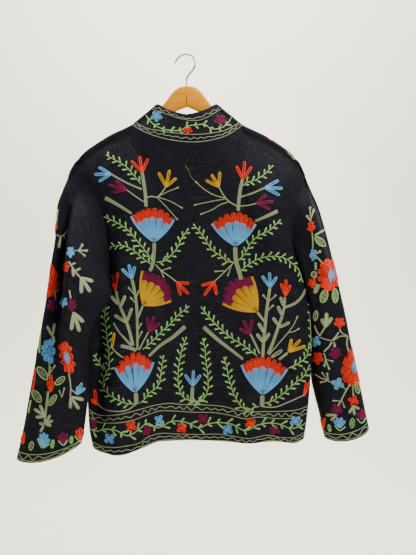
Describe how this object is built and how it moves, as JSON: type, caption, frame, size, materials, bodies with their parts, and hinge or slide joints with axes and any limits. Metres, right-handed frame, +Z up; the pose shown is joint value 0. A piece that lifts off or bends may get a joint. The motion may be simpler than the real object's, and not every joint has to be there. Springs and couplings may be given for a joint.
{
  "type": "suzani jacket on a wooden hanger",
  "caption": "Open-front black cotton jacket with set-in sleeves and a band collar, embroidered all over with flowers and vines, hanging on a wooden hanger with a wire hook.",
  "frame": {"origin": "inner top of the hook's crook, where the nail or rail carries the hanger", "axes": "+Z up, the jacket's back faces -Y and its open front faces +Y, +X towards the wearer's right"},
  "size_m": [0.698, 0.1559, 0.8135],
  "materials": {
    "cloth": "matte slubbed cotton",
    "embroidery_thread": "soft chain stitch",
    "wood": "satin varnish",
    "hook_wire": "drawn wire"
  },
  "bodies": {
    "root": {"back_panel": "cloth", "left_front": "cloth", "right_front": "cloth", "left_front_band": "cloth", "right_front_band": "cloth", "collar": "cloth", "left_sleeve": "cloth", "right_sleeve": "cloth", "hanger_wood": "wood", "hanger_hook": "hook_wire"}
  },
  "joints": []
}
